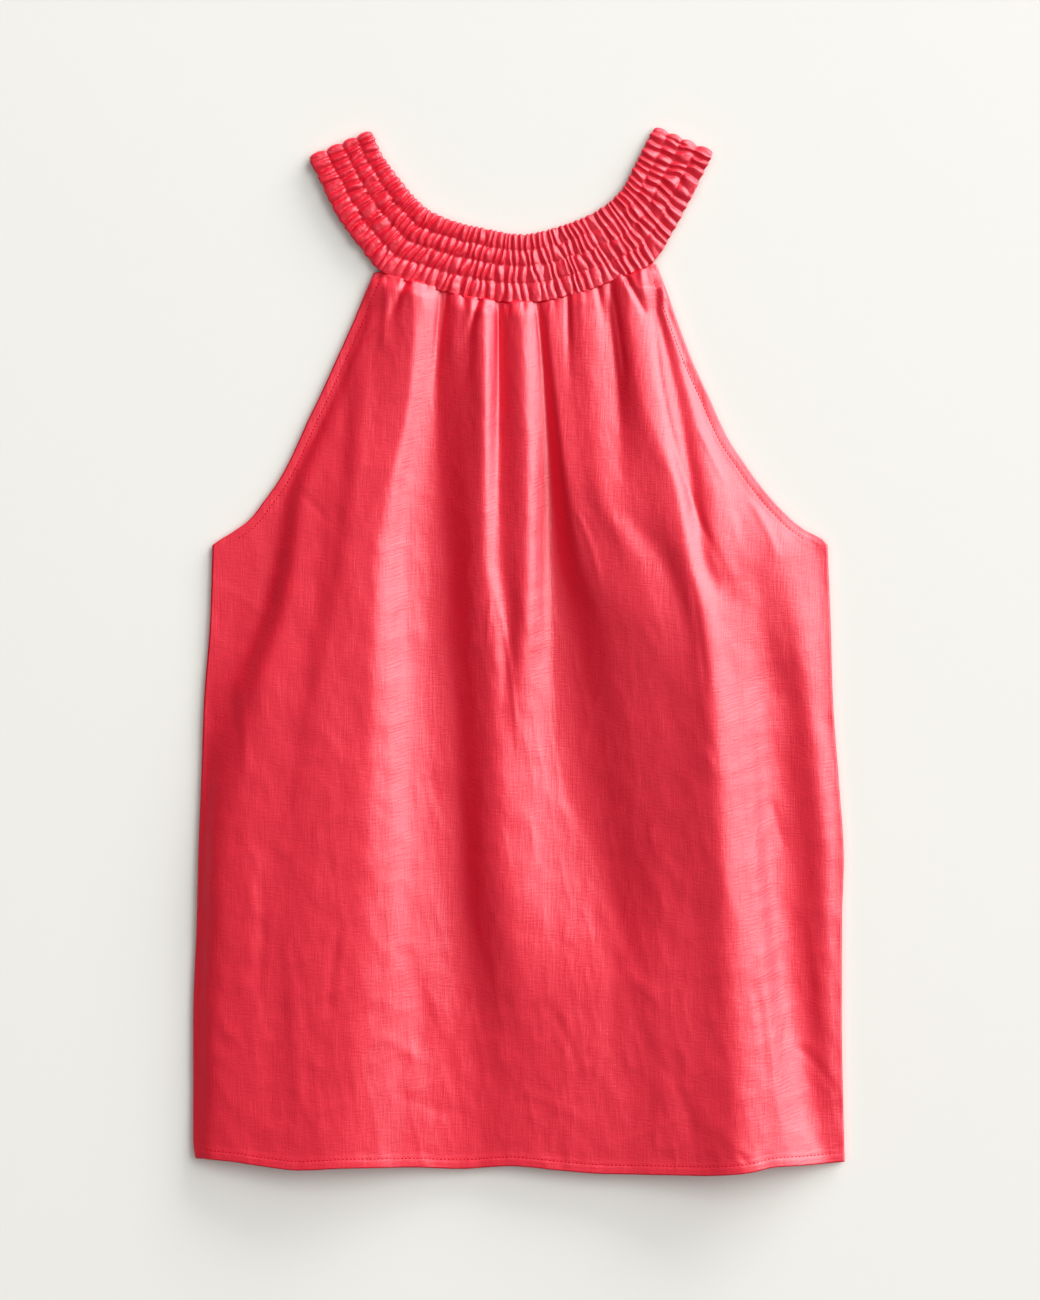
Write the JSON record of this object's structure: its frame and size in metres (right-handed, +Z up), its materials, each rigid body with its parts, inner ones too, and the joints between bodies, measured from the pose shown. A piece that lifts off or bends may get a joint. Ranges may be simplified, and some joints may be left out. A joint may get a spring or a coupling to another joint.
{
  "type": "halter top",
  "caption": "Sleeveless linen halter top lying flat: front gathered into a smocked ring neckband, cut-away armholes, straight turned hem.",
  "frame": {"origin": "on the surface under the middle of the whole garment's bounding box", "axes": "+Y from the hem to the neck, +Z up from the surface to the front, +X to the right of someone who looks down at the front"},
  "size_m": [0.4432, 0.7106, 0.0216],
  "materials": {
    "linen": "matt coral linen, plain weave with slubs"
  },
  "bodies": {
    "root": {"front_panel": "linen", "back_panel": "linen", "neckband": "linen"}
  },
  "joints": []
}
